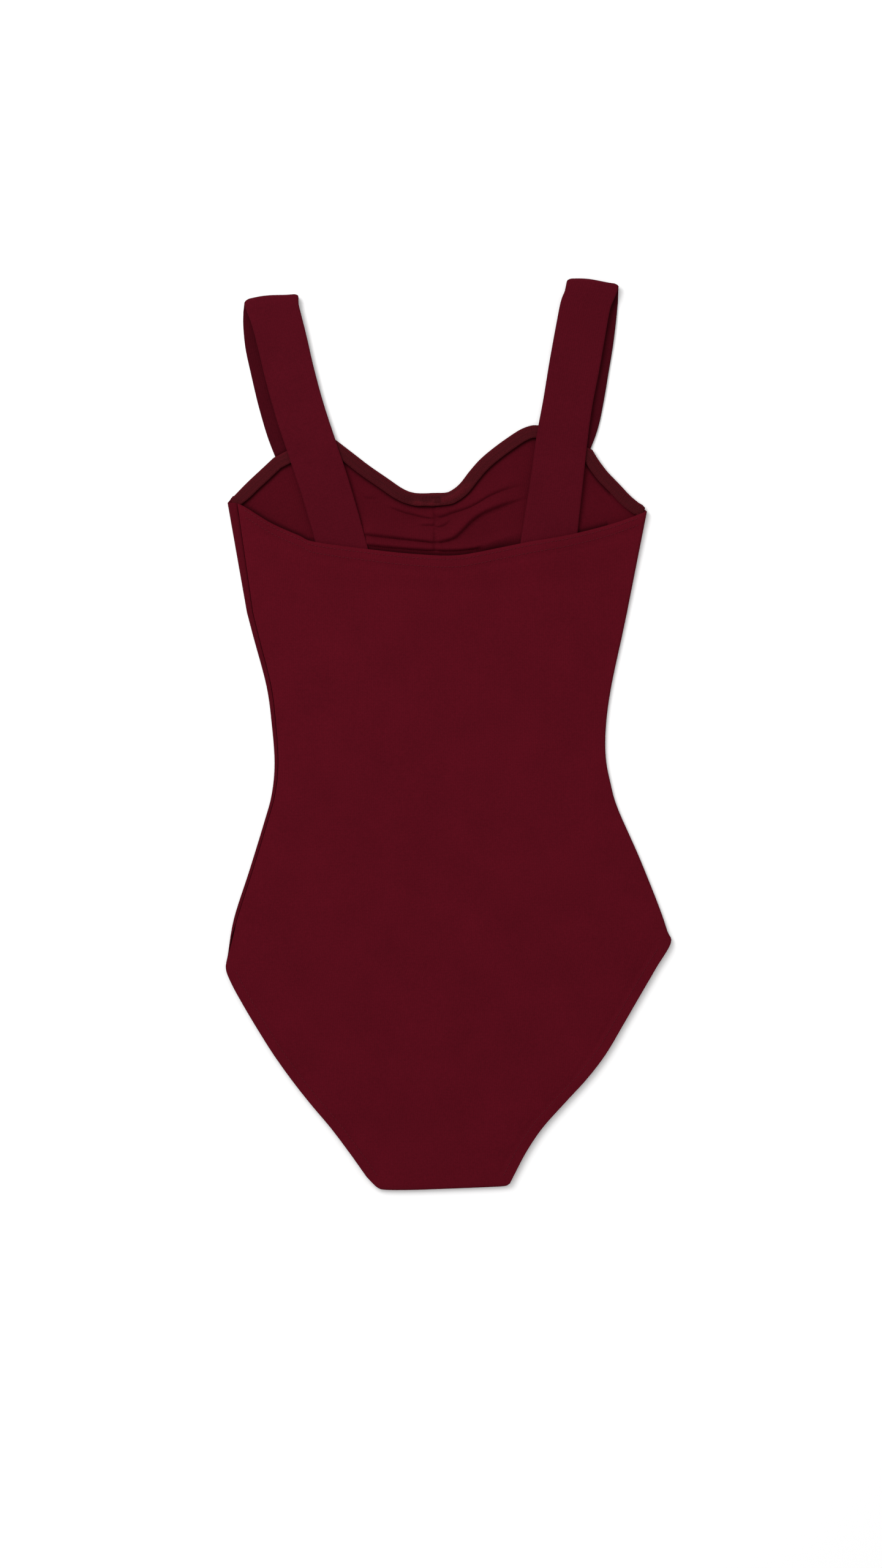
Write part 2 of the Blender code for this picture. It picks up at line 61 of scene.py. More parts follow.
# left x, left y, right x, right y, loose edges, height of the folded edge, left seam, right seam
sections = np.array([
    (-63.5, -339.0, 50.5, -339.0, 1.0, 3.9, 0.0, 0.0),
    (-77.0, -320.0, 60.5, -320.0, 1.0, 3.9, 0.0, 0.0),
    (-91.0, -301.5, 73.0, -301.5, 1.0, 3.9, 0.0, 0.0),
    (-107.0, -282.5, 90.0, -282.5, 1.0, 3.9, 0.0, 0.0),
    (-121.5, -264.0, 107.0, -264.0, 1.0, 3.9, 0.0, 0.0),
    (-135.0, -245.0, 121.5, -245.0, 1.0, 3.9, 0.0, 0.0),
    (-147.0, -226.0, 134.5, -223.0, 1.0, 3.9, 0.0, 0.0),
    (-158.0, -207.5, 147.5, -200.5, 1.0, 3.9, 0.0, 0.0),
    (-167.5, -190.0, 160.0, -179.0, 1.0, 3.9, 0.0, 0.0),
    (-170.8, -179.0, 170.5, -160.5, 0.5, 3.9, 0.0, 0.0),
    (-169.2, -169.5, 168.0, -151.0, 0.0, 3.7, 0.9, -1.2),
    (-164.5, -141.5, 161.5, -132.0, 0.0, 3.3, 3.6, -3.9),
    (-152.5, -104.0, 146.5, -94.5, 0.0, 3.0, 3.5, -3.9),
    (-141.0, -66.5, 130.0, -57.0, 0.0, 3.0, 3.5, -3.9),
    (-135.5, -46.0, 124.5, -38.0, 0.0, 3.0, 3.5, -3.9),
    (-133.3, -22.0, 120.7, -17.0, 0.0, 3.0, 3.7, -3.9),
    (-135.5, 8.0, 121.0, 8.0, 0.0, 3.0, 4.1, -3.9),
    (-139.5, 37.0, 125.0, 37.0, 0.0, 3.0, 4.5, -3.9),
    (-149.5, 74.5, 133.0, 74.5, 0.0, 3.2, 5.2, -4.0),
    (-154.5, 93.5, 137.0, 93.5, 0.0, 3.4, 5.6, -4.1),
])
# the same for the two corners where the armholes meet the side edges
armCorners = np.array((-169.3, 177.5, 152.3, 171.0, 0.0, 5.2, 9.0, -5.6))

# the crotch fold from left to right
crotchLine = np.array([(-54.5, -347.6), (-49.0, -349.2), (-30.0, -349.4), (0.0, -348.4), (30.0, -347.2),
                       (42.0, -346.5), (45.5, -345.8)])
crotchRound = 10.0    # inset by which the line has straightened
# how far the leg edges spread beside the crotch: inset from the fold, shift of x
leftSpread = np.array([(0.0, 0.0), (2.8, -3.3), (8.6, -9.0), (27.6, -22.5)])
rightSpread = np.array([(0.0, 0.0), (1.8, 2.3), (6.8, 5.0), (25.8, 15.0)])

backNeck = np.array([(-169.3, 177.5), (-158.9, 175.8), (-135.8, 161.9), (-113.7, 152.0), (-102.9, 147.6),
                     (-61.6, 141.9), (-26.3, 138.2), (6.6, 137.2), (39.5, 143.0), (61.1, 147.4), (94.0, 153.2),
                     (126.9, 161.7), (152.3, 171.0)])

frontTop = {
    "leftArmhole": ((-169.3, 177.5), (-155.1, 192.2), (-143.6, 203.0), (-134.0, 212.0)),
    "leftStrap": ((-134.0, 212.0), (-95.0, 232.4)),
    "neckline": ((-95.0, 232.4), (-85.5, 225.1), (-73.3, 215.7), (-61.1, 206.3), (-47.5, 196.9), (-35.3, 188.6),
                 (-26.3, 185.2), (-15.0, 184.8), (-2.5, 185.2), (2.8, 187.2), (8.9, 192.2), (16.0, 201.4),
                 (24.4, 210.9), (35.7, 220.4), (48.9, 229.8), (56.9, 234.5), (64.5, 236.9), (71.9, 236.6)),
    "rightStrap": ((71.9, 236.6), (110.5, 218.0)),
    "rightArmhole": ((110.5, 218.0), (114.7, 211.0), (121.7, 201.6), (130.7, 192.2), (139.6, 182.8),
                     (148.6, 175.2), (152.3, 171.0)),
}
# how steeply the folded edge rises below the left and the right armhole
armholeSlopes = (1.35, 1.1)

# grid sizes
fine = {
    "backStep": 3.0, "backWrap": 14, "backAcross": 130, "backRise": 37, "crotchArc": 14,
    "frontStep": 7.0, "frontWrap": 9, "frontRise": 72, "frontPlain": 10, "hemRows": 9,
    "strapStep": 3.0, "strapFlat": 21, "strapEdge": 7, "strapFold": 15,
}


# small helpers

def smooth(t):
    # 0 below 0, 1 above 1, and 3t^2 - 2t^3 between
    t = np.clip(t, 0.0, 1.0)
    return t * t * (3.0 - 2.0 * t)


def unit(vectors):
    # the same directions with length 1
    return vectors / np.maximum(np.linalg.norm(vectors, axis=-1, keepdims=True), 1e-9)


def arcLengths(points):
    # length along a chain of points, from its first one
    return np.concatenate([[0.0], np.cumsum(np.linalg.norm(np.diff(points, axis=0), axis=1))])


def alongPath(path, arc, places):
    # points or normals of a path at lengths along it
    return np.stack([np.interp(places, arc, path[:, i]) for i in range(3)], axis=-1)


def splineThrough(points, steps):
    # a smooth curve through the rows: steps[i] new rows in each gap, with the end gaps carried on straight
    points = np.asarray(points, float)
    padded = np.vstack([2 * points[0] - points[1], points, 2 * points[-1] - points[-2]])
    rows = []
    for i, count in enumerate(steps):
        a, b, c, d = padded[i:i + 4]
        t = np.arange(count)[:, None] / count
        rows.append(0.5 * (2 * b + (c - a) * t + (2 * a - 5 * b + 4 * c - d) * t ** 2
                           + (3 * b - a - 3 * c + d) * t ** 3))
    return np.vstack(rows + [points[-1:]])


def fineCurve(points, step=1.0):
    # the same spline with about one point every step millimetres
    points = np.asarray(points, float)
    gaps = np.linalg.norm(np.diff(points[:, :2], axis=0), axis=1)
    return splineThrough(points, [max(1, int(math.ceil(gap / step))) for gap in gaps])


def atShares(points, shares):
    # points at shares of a chain's length
    points = np.asarray(points, float)
    length = arcLengths(points[:, :2])
    return np.stack([np.interp(np.asarray(shares) * length[-1], length, column) for column in points.T], axis=-1)


def rollOver(distance, height):
    # round a folded edge: a half turn of radius height / 2, flat above and below it; gives inset and height
    radius = height / 2
    quarter = math.pi * radius / 2
    turn = np.clip(distance, -quarter, quarter) / radius
    beyond = np.maximum(np.abs(distance) - quarter, 0.0)
    return radius * (1 - np.cos(turn)) + beyond, radius * (1 + np.sin(turn))


def gridNormals(grid):
    # cross product of the two directions of a grid of points
    along = np.gradient(grid, axis=0)
    across = np.gradient(grid, axis=1)
    return unit(np.cross(across, along))


def sampleGrid(grid, row, column):
    # bilinear value of a grid at fractional rows and columns
    row = np.clip(row, 0, grid.shape[0] - 1.001)
    column = np.clip(column, 0, grid.shape[1] - 1.001)
    r, c = row.astype(int), column.astype(int)
    fr, fc = (row - r)[..., None], (column - c)[..., None]
    return ((grid[r, c] * (1 - fr) + grid[r + 1, c] * fr) * (1 - fc)
            + (grid[r, c + 1] * (1 - fr) + grid[r + 1, c + 1] * fr) * fc)


def ripple(x, y, seeds):
    # slow uneven waves: a sum of sines of different lengths and directions, from -1 to 1
    total = 0.0
    for angle, length, phase in seeds:
        total = total + np.sin((x * math.cos(angle) + y * math.sin(angle)) * 2 * math.pi / length + phase)
    return total / len(seeds)


# the outline of the body, row by row

def fineSections(step):
    # the spline through the table's rows, about one row every step millimetres of side edge
    gaps = np.maximum(np.linalg.norm(np.diff(sections[:, 0:2], axis=0), axis=1),
                      np.linalg.norm(np.diff(sections[:, 2:4], axis=0), axis=1))
    rows = splineThrough(sections, [max(1, int(math.ceil(gap / step))) for gap in gaps])
    rows[:, 4] = np.clip(rows[:, 4], 0.0, 1.0)
    return rows


def towardsArms(shares):
    # straight from the last row of the table to the armhole corners
    return sections[-1] + (armCorners - sections[-1]) * np.asarray(shares)[:, None]


def quarterOf(rows):
    # length of a quarter turn of the folded edge
    return math.pi * rows[:, 5] / 4


def gapAt(seam, rows):
    # a side seam's gap: narrow on the flat, wide where the seam lies on the curve of the fold
    onFlat = smooth((np.abs(seam) - quarterOf(rows)) / 0.9)
    return garment["edgeSeamGap"] + (garment["seamGap"] - garment["edgeSeamGap"]) * onFlat


def sideInset(rows, distance):
    # inset and height of points round the folded edge, moved out to the edge where it is loose
    inset, z = rollOver(distance, rows[:, 5:6])
    return inset - rows[:, 4:5] * rows[:, 5:6] / 2, z


def crotchPoints(across, inset):
    # points of the folded crotch: along its line, in by inset, spreading with the leg edges
    line = fineCurve(crotchLine, 1.0)
    point = atShares(line, across)
    straight = crotchLine[0, 1] + (crotchLine[-1, 1] - crotchLine[0, 1]) * across
    y = point[:, 1] + (straight - point[:, 1]) * smooth(inset / crotchRound)
    left = np.interp(inset, *leftSpread.T)
    right = np.interp(inset, *rightSpread.T)
    return np.stack([point[:, 0] + (1 - across) * left + across * right, y + inset], axis=-1)


def hemShare(inset):
    # 1 on a turned hem and 0 inside it
    return np.clip((garment["hemWidth"] + garment["hemEnd"] - inset) / garment["hemEnd"], 0.0, 1.0)


def hemSwell(inset):
    # a turned hem stands a little proud, with a soft valley just inside it
    band = smooth(inset / 1.5) * (1 - smooth((inset - garment["hemWidth"] + 1.5) / 2.5))
    valley = np.exp(-((inset - garment["hemWidth"] - 2.2) / 2.4) ** 2)
    return backLook["swell"] * band - backLook["valley"] * valley


# the back

backLook = {
    "wave": 0.42,                       # height of the slow waves of the cloth
    "waves": ((0.3, 172.0, 0.4), (1.9, 131.0, 2.0), (2.6, 96.0, 4.1), (1.2, 77.0, 1.1), (0.9, 58.0, 3.3)),
    "pucker": 0.10,                     # little waves that the stitching draws into the hems
    "puckers": ((0.0, 9.0, 0.0), (0.2, 6.3, 1.2), (-0.15, 13.7, 2.6)),
    "swell": 0.32,                      # how proud the hems stand, and the depth of the valley beside them
    "valley": 0.28,
    "leftWrap": (0.0, 0.4, 0.9, 1.5, 2.1, 2.7),
    "riseReach": 28.0,                  # from the folded edge to the full height
    "quietEdge": (3.0, 25.0),           # no waves up to the first, all of them past both
    "crotchRun": 2.6,                   # from the crotch fold to the first row of the body
}


def backRow(rows, rise, neckline):
    # plan, height and inset of the back's columns for each row; neckline bends the rows to the back neck
    left, right = rows[:, None, 0:2], rows[:, None, 2:4]
    span = np.linalg.norm(right - left, axis=-1)
    quarter = quarterOf(rows)
    loose = rows[:, 4] * quarter
    start = rows[:, 6] + gapAt(rows[:, 6], rows) / 2 + loose
    end = rows[:, 7] + gapAt(rows[:, 7], rows) / 2 + loose
    flat = np.maximum(quarter + 1.0, end + 1.2)
    turnIn = np.linspace(0.0, 1.0, fine["backWrap"])
    leftInset, leftZ = sideInset(rows, start[:, None] + np.array(backLook["leftWrap"]))
    rightDistance = flat[:, None] + (end - flat)[:, None] * turnIn
    rightInset, rightZ = sideInset(rows, rightDistance)
    hem = garment["hemWidth"] + 3.0
    ease = np.linspace(0.0, 1.0, 9)[1:-1]
    leftFill = leftInset[:, -1:] + (hem - leftInset[:, -1:]) * ease
    rightFill = hem + (rightInset[:, :1] - hem) * ease
    inner = hem + (span - 2 * hem) * np.linspace(0.0, 1.0, fine["backAcross"])
    fromLeft = np.hstack([leftInset, leftFill, inner, span - rightFill, span - rightInset])
    level = np.repeat(rows[:, 5:6], leftFill.shape[1] + inner.shape[1] + rightFill.shape[1], axis=1)
    z = np.hstack([leftZ, level, rightZ])
    inset = np.minimum(fromLeft, span - fromLeft)
    topSide = np.hstack([np.ones((len(rows), fromLeft.shape[1] - len(turnIn))), smooth(rightDistance / 2.0)])
    z = z + (rise[:, None] - rows[:, 5:6]) * smooth(inset / backLook["riseReach"]) * topSide
    share = fromLeft / span
    plan = left + (right - left) * share[..., None]
    neck = fineCurve(backNeck, 1.0)
    neckX = neck[0, 0] + (neck[-1, 0] - neck[0, 0]) * share
    drop = np.interp(neckX, neck[:, 0], neck[:, 1]) - (neck[0, 1] + (neck[-1, 1] - neck[0, 1]) * share)
    plan[..., 1] += drop * np.asarray(neckline)[:, None]
    lift = armholeSlopes[1] * rightInset * smooth(-rightDistance / 1.5) * np.asarray(neckline)[:, None] ** 2
    plan[:, -len(turnIn):] += upTheSide("right", lift)
    return np.dstack([plan, z]), inset, topSide


def makeBackGrid():
    # the crotch fold, the body, then the rows up to the back neckline
    rows = fineSections(fine["backStep"])
    lower, inset, topSide = backRow(rows, np.full(len(rows), garment["bodyRise"]), np.zeros(len(rows)))
    across = (lower[0, :, 0] - rows[0, 0]) / (rows[0, 2] - rows[0, 0])
    quarter = math.pi * garment["crotchHeight"] / 4
    under = -quarter - garment["crotchTurn"] * np.linspace(1.0, 0.2, 5)
    curve = np.linspace(-quarter, quarter, fine["crotchArc"])
    distances = np.concatenate([under, curve, [quarter + backLook["crotchRun"]]])
    fold, foldHem = [], []
    for distance in distances:
        depth, z = rollOver(np.array(distance), garment["crotchHeight"])
        plan = crotchPoints(across, float(depth))
        fold.append(np.column_stack([plan, np.full(len(plan), float(z))]))
        foldHem.append(hemShare(inset[0]))
    shares = smooth(np.linspace(0.0, 1.0, fine["backRise"])[1:] ** 0.9 * 0.5) * 2
    rise = garment["bodyRise"] + (garment["neckRise"] - garment["bodyRise"]) * smooth((shares - 0.35) / 0.4)
    upper, upperInset, upperTop = backRow(towardsArms(shares), rise, shares)
    depth = np.linalg.norm(upper[-1:, :, :2] - upper[:, :, :2], axis=-1)
    legs = rows[:, 4:5]
    grid = np.concatenate([np.array(fold), lower, upper])
    hems = np.vstack([foldHem, hemShare(inset) * legs, hemShare(depth)])
    top = np.vstack([np.zeros((len(fold), lower.shape[1])), topSide, upperTop])
    swell = np.vstack([np.zeros((len(fold), lower.shape[1])), hemSwell(inset) * legs, hemSwell(depth)])
    x, y = grid[..., 0], grid[..., 1]
    quiet, reach = backLook["quietEdge"]
    edge = np.vstack([np.zeros((len(fold), lower.shape[1])), smooth((inset - quiet) / reach),
                      smooth((upperInset - quiet) / reach) * smooth(depth / reach)])
    slow = backLook["wave"] * ripple(x, y, backLook["waves"]) * edge
    pucker = backLook["pucker"] * ripple(x, y, backLook["puckers"]) * hems
    grid[..., 2] += (swell + slow + pucker) * top
    return grid, hems, len(fold), len(fold) + len(rows)


# the front, with its gathers

frontLook = {
    "seamX": -10.0,        # the line of the gathering stitches
    "pinch": 0.6, "pinchReach": 1.5,
    # small waves of the cloth beside the gathering stitches, and how they sway
    "pucker": 0.35, "puckerLength": 3.6, "puckerSway": (1.3, 3.1), "puckerReach": 3.4,
    "puckerFrom": (130.0, 12.0),
    "gathered": (-69.0, 10.0, 70.0, 12.0),    # x and ease of the left end, then of the right end
    "seat": 1.9,           # bottom of a turned hem over the outer side of the front
    "hemLayer": 1.15,
    "hemRows": 9.6,        # width of a turned hem on the inside
    "turnEase": 8.5,       # how softly the inward direction turns at the corners of the top edge
    "cornerEase": 14.0,    # from the side's direction to the inward one
    "plainShare": 0.46,    # share of the rise that has no folds and wide rows
    "lead": (6.6, 7.0),    # of the top edge, from the left corner and to the right one
    "neckStep": 1.25, "armholeStep": 2.4, "leftShift": 0.4,
    "seamLead": 0.25, "leastWrap": 0.8, "wrapRun": 1.3,
}

# each fold drops steeply below its line and eases off above it:
# points of the line, height, width of the steep side, width of the easy side, ease-in and ease-out lengths
folds = (
    (((-74.0, 153.6), (-64.0, 153.0), (-54.0, 152.0), (-44.0, 150.8), (-33.0, 149.6), (-18.6, 148.0),
      (-9.8, 147.2), (-2.0, 148.4), (5.0, 151.0), (10.4, 155.8), (16.5, 162.2), (23.0, 167.4), (31.0, 171.6),
      (42.0, 175.8), (54.0, 179.2), (66.0, 182.0)), 3.4, 1.7, 7.0, 1.0, 34.0),
    (((-9.8, 165.2), (-18.6, 166.4), (-28.2, 168.8), (-38.0, 171.6), (-52.0, 176.4)), 2.0, 1.4, 4.6, 2.0, 18.0),
    (((-9.8, 160.8), (-18.6, 160.4), (-27.0, 159.2)), 1.6, 1.1, 3.0, 1.5, 12.0),
    (((-9.8, 165.6), (-4.0, 167.0), (2.2, 169.4), (13.3, 172.8), (21.3, 176.4), (32.5, 183.0), (45.3, 188.0),
      (64.0, 192.4)), 2.1, 2.0, 6.5, 2.0, 30.0),
    (((-9.8, 158.4), (-4.0, 160.2), (3.0, 164.6)), 1.5, 1.1, 2.6, 1.5, 6.0),
    (((-74.0, 184.8), (-66.0, 182.0), (-58.0, 180.4), (-50.0, 180.6)), 1.1, 2.0, 6.0, 1.0, 12.0),
    (((-9.8, 174.6), (-20.0, 174.2), (-32.0, 177.0)), 0.9, 1.5, 3.0, 2.0, 10.0),
    (((-6.0, 176.4), (4.0, 179.4), (12.0, 184.6), (22.0, 193.0)), 1.0, 1.6, 3.4, 3.0, 12.0),
    (((-74.0, 146.4), (-60.0, 144.8), (-40.0, 142.8), (-14.0, 141.0), (8.0, 141.0), (26.0, 143.4), (44.0, 147.6),
      (62.0, 152.0)), 2.6, 1.7, 4.2, 1.0, 22.0),
)


def foldShape(x, y, points, height, steep, ease, easeIn, easeOut):
    # height over one fold: signed distance from its line, smooth rise over steep, bell-shaped fall over ease
    curve = fineCurve(points, 0.6)
    offX, offY = x[..., None] - curve[:, 0], y[..., None] - curve[:, 1]
    gap = np.hypot(offX, offY)
    nearest = np.argmin(gap, axis=-1)[..., None]
    distance = np.take_along_axis(gap, nearest, -1)[..., 0]
    way = np.gradient(curve, axis=0)
    turn = np.sign(points[-1][0] - points[0][0])
    side = turn * (way[nearest, 0] * np.take_along_axis(offY, nearest, -1)
                   - way[nearest, 1] * np.take_along_axis(offX, nearest, -1))[..., 0]
    signed = distance * np.sign(side)
    arc = arcLengths(curve)
    place = arc[nearest[..., 0]]
    fade = smooth(place / easeIn) * smooth((arc[-1] - place) / easeOut)
    return height * fade * smooth(signed / steep) * np.exp(-(np.maximum(signed - steep, 0.0) / ease) ** 2)


def gatherHeight(x, y):
    # the folds added up, pressed flat under the straps, with small waves where the stitching holds the middle
    total = sum(foldShape(x, y, *fold) for fold in folds)
    left, leftEase, right, rightEase = frontLook["gathered"]
    total *= smooth((x - left) / leftEase) * smooth((right - x) / rightEase)
    fromSeam = x - frontLook["seamX"]
    sway, swayLength = frontLook["puckerSway"]
    foot, footEase = frontLook["puckerFrom"]
    wave = 1 + np.cos(y * 2 * math.pi / frontLook["puckerLength"] + sway * np.sin(y / swayLength))
    pucker = frontLook["pucker"] * wave * np.exp(-(fromSeam / frontLook["puckerReach"]) ** 2) \
        * smooth((y - foot) / footEase)
    held = 1 - frontLook["pinch"] * np.exp(-(fromSeam / frontLook["pinchReach"]) ** 2)
    return (total + pucker) * held


def topColumns():
    # the front's top edge: its points at the panel's columns, and the column where each stretch starts
    corner = armCorners[None, :]
    wrap, rightEnd = frontSides(corner)
    first, _ = sideInset(corner, wrap[:, -1:])
    points = [armCorners[0:2] + acrossOf(corner)[0] * first[0, 0] + (0.0, armholeSlopes[0] * first[0, 0])]
    starts = {}
    for name, stretch in frontTop.items():
        curve = fineCurve(stretch, 0.5)
        length = arcLengths(curve)[-1]
        starts[name] = len(points)
        first = frontLook["lead"][0] / length if name == "leftArmhole" else 0.0
        last = 1 - frontLook["lead"][1] / length if name == "rightArmhole" else 1.0
        count = max(4, int(length / frontLook["neckStep" if name == "neckline" else "armholeStep"]))
        shift = frontLook["leftShift"] / count if name == "leftArmhole" else 0.0
        points += list(atShares(curve, np.linspace(first, last, count + 1)[:-1] + shift))
    last, _ = sideInset(corner, rightEnd[:, None])
    points.append(armCorners[2:4] - acrossOf(corner)[0] * last[0, 0]
                  + upTheSide("right", armholeSlopes[1] * last[0, 0]))
    return np.array(points), starts


def upTheSide(side, rise):
    # a step up the side edge of the body, in line with its stretch below the armhole corner
    x, y = (0, 1) if side == "left" else (2, 3)
    slope = (armCorners[x] - sections[-1, x]) / (armCorners[y] - sections[-1, y])
    return np.stack([rise * slope, rise], axis=-1)


def acrossOf(rows):
    # the direction from the left edge to the right one
    return unit(rows[:, 2:4] - rows[:, 0:2])


def frontSides(rows):
    # distances round the left edge for the wrapped columns, and where the front ends at the right
    quarter = quarterOf(rows)
    loose = rows[:, 4] * (quarter + garment["legInset"])
    start = rows[:, 6] - gapAt(rows[:, 6], rows) / 2 - loose
    curveTop = np.minimum(start - frontLook["seamLead"], quarter)
    curveFoot = np.minimum(-quarter, curveTop - frontLook["leastWrap"])
    bend = np.linspace(0.0, 1.0, fine["frontWrap"])
    lead = np.stack([start, (start + curveTop) / 2], axis=1)
    curve = curveTop[:, None] + (curveFoot - curveTop)[:, None] * bend
    wrap = np.hstack([lead, curve, curveFoot[:, None] - frontLook["wrapRun"]])
    end = rows[:, 7] - gapAt(rows[:, 7], rows) / 2 - loose
    return wrap, np.minimum(end, -quarter - garment["edgeClear"])


def frontRow(rows, shares, lift):
    # the wrapped columns of each row, and the straight run of the others on the surface
    wrap, rightEnd = frontSides(rows)
    inset, z = sideInset(rows, wrap)
    way = acrossOf(rows)
    plan = rows[:, None, 0:2] + way[:, None, :] * inset[..., None]
    plan[..., 1] += np.where(wrap < 0, armholeSlopes[0] * inset * np.asarray(lift)[:, None], 0.0)
    wrapped = np.dstack([plan, z])[:, :-1]
    rightInset, _ = sideInset(rows, rightEnd[:, None])
    base = rows[:, 0:2] + way * inset[:, -1:]
    end = rows[:, 2:4] - way * rightInset
    straight = base[:, None, :] + (end - base)[:, None, :] * shares[None, :, None]
    width = np.linalg.norm(end - base, axis=1)[:, None]
    straightInset = np.minimum(inset[:, -1:] + width * shares, rightInset + width * (1 - shares))
    return wrapped, straight, np.hstack([inset[:, :-1], straightInset])


def makeFrontGrid():
    # the crotch end, the body, then the rows up to the top edge with the gathers and the turned hems
    top, starts = topColumns()
    shares = (top[:, 0] - top[0, 0]) / (top[-1, 0] - top[0, 0])
    rows = fineSections(fine["frontStep"])
    wrapped, straight, inset = frontRow(rows, shares, np.zeros(len(rows)))
    lower = np.concatenate([wrapped, np.dstack([straight, np.zeros(straight.shape[:2])])], axis=1)
    across = (lower[0, :, 0] - rows[0, 0]) / (rows[0, 2] - rows[0, 0])
    start = garment["crotchHeight"] / 2 + garment["crotchTurn"] + garment["seamGap"]
    keep = rows[:, 1] > crotchLine[-1, 1] + start + 1.0
    foot = np.column_stack([crotchPoints(across, start), np.zeros(len(across))])[None]
    lower, inset, legs = lower[keep], inset[keep], rows[keep, 4:5]
    hems = np.vstack([hemShare(inset[:1]), hemShare(inset) * legs])
    low = straight[-1]
    normals = np.diff(top, axis=0)
    normals = unit(np.stack([normals[:, 1], -normals[:, 0]], axis=1))
    joined = unit(normals[:-1] + normals[1:])
    sides = unit(np.vstack([low[:1] - top[:1], low[-1:] - top[-1:]]))
    arc = arcLengths(top)
    weight = np.exp(-((arc[:, None] - arc) / frontLook["turnEase"]) ** 2 / 2) * np.gradient(arc)
    into = weight @ np.vstack([joined[:1], joined, joined[-1:]]) / weight.sum(axis=1, keepdims=True)
    fromLeft = smooth(arc / frontLook["cornerEase"])[:, None]
    fromRight = smooth((arc[-1] - arc) / frontLook["cornerEase"])[:, None]
    into = unit((into * fromLeft + sides[0] * (1 - fromLeft)) * fromRight + sides[1] * (1 - fromRight))
    hemLine = top + into * frontLook["hemRows"]
    sideHeight = armCorners[1] - sections[-1, 1]
    turned = 1 - frontLook["hemRows"] / sideHeight
    riseShares = np.concatenate([
        np.linspace(0.0, frontLook["plainShare"], fine["frontPlain"] + 1)[1:],
        np.linspace(frontLook["plainShare"], 1.0, fine["frontRise"] - fine["frontPlain"] + 1)[1:]])
    depths = np.linspace(frontLook["hemRows"], 0.0, fine["hemRows"] + 1)[1:]
    sideShares = np.concatenate([riseShares * turned, 1 - depths / sideHeight])
    wrappedUp, _, _ = frontRow(towardsArms(sideShares), shares, sideShares ** 2)
    plan = np.concatenate([low + (hemLine - low) * riseShares[:, None, None], top + into * depths[:, None, None]])
    height = gatherHeight(plan[..., 0], plan[..., 1])
    upper = np.concatenate([wrappedUp, np.dstack([plan, height])], axis=1)
    grid = np.concatenate([foot, lower, upper])
    hems = np.vstack([hems, np.zeros(upper.shape[:2])])
    wraps = wrapped.shape[1]
    return grid, hems, {name: column + wraps for name, column in starts.items()}, wraps


# the straps

strapLook = {
    "wall": 1.8, "edge": 0.85,
    "crown": 0.12,         # share by which the middle is thinner than the edges
    "tuck": 3.5,           # how far the front end goes in under the top edge's line
    "corner": 6.4,         # how much narrower the shoulder fold is at its outermost
    "uneven": 0.8, "unevenTurn": 2.4, "unevenPhase": 2.2, "unevenReach": 22.0,
    "wave": 0.24, "waves": ((1.45, 41.0, 0.3), (0.4, 63.0, 1.9), (2.3, 29.0, 3.0)), "waveEase": (20.0, 60.0),
}

# middle x, y, turn of the width in degrees, height, width: front part, shoulder fold, back part
straps = {
    "strapLeft": {
        "front": ((-115.9, 222.0, 27.6, 0.95, 38.4), (-121.4, 236.4, 18.0, 0.95, 38.0),
                  (-127.4, 257.3, 15.0, 0.95, 38.0), (-132.8, 280.1, 12.0, 0.95, 38.0),
                  (-136.8, 298.5, 8.0, 0.95, 38.0), (-138.2, 314.9, 5.0, 0.95, 38.5),
                  (-137.4, 326.0, 5.5, 0.95, 40.0)),
        "fold": (-135.8, 335.2, 6.0, 42.0),
        "back": ((-134.4, 326.5, 9.0, 5.6, 40.0), (-131.6, 317.5, 12.0, 5.2, 38.6),
                 (-127.2, 300.3, 14.0, 4.7, 38.4), (-121.7, 276.8, 16.0, 4.3, 38.2),
                 (-114.0, 248.6, 18.0, 4.1, 38.0), (-104.8, 220.4, 18.0, 4.3, 38.0),
                 (-95.4, 192.2, 17.0, 4.3, 38.0), (-87.6, 166.0, 15.0, 3.4, 38.0),
                 (-83.2, 150.0, 13.0, 2.4, 38.0), (-80.6, 140.5, 12.0, 2.35, 38.0),
                 (-78.6, 131.0, 12.0, 2.35, 38.0)),
    },
    "strapRight": {
        "front": ((91.4, 227.8, -25.7, 0.95, 39.6), (96.8, 240.9, -15.0, 0.95, 38.0),
                  (100.2, 256.9, -11.0, 0.95, 38.0), (103.9, 278.8, -9.0, 0.95, 38.0),
                  (107.1, 298.0, -7.0, 0.95, 38.0), (109.4, 316.4, -6.0, 0.95, 38.2),
                  (110.7, 334.0, -5.0, 0.95, 39.0)),
        "fold": (110.7, 347.2, -3.5, 40.0),
        "back": ((108.6, 338.0, -5.0, 5.6, 39.0), (105.0, 328.5, -8.0, 5.2, 38.4),
                 (101.4, 309.7, -10.0, 4.8, 38.6), (96.4, 281.5, -11.0, 4.3, 38.8),
                 (91.4, 253.3, -10.0, 4.1, 38.0), (86.9, 225.1, -8.0, 4.3, 39.4),
                 (83.5, 196.9, -7.0, 4.3, 40.2), (79.7, 168.7, -7.0, 3.4, 41.6),
                 (77.9, 154.5, -7.0, 2.4, 42.6), (76.6, 144.5, -7.0, 2.35, 43.0),
                 (75.2, 133.5, -7.0, 2.35, 43.0)),
    },
}


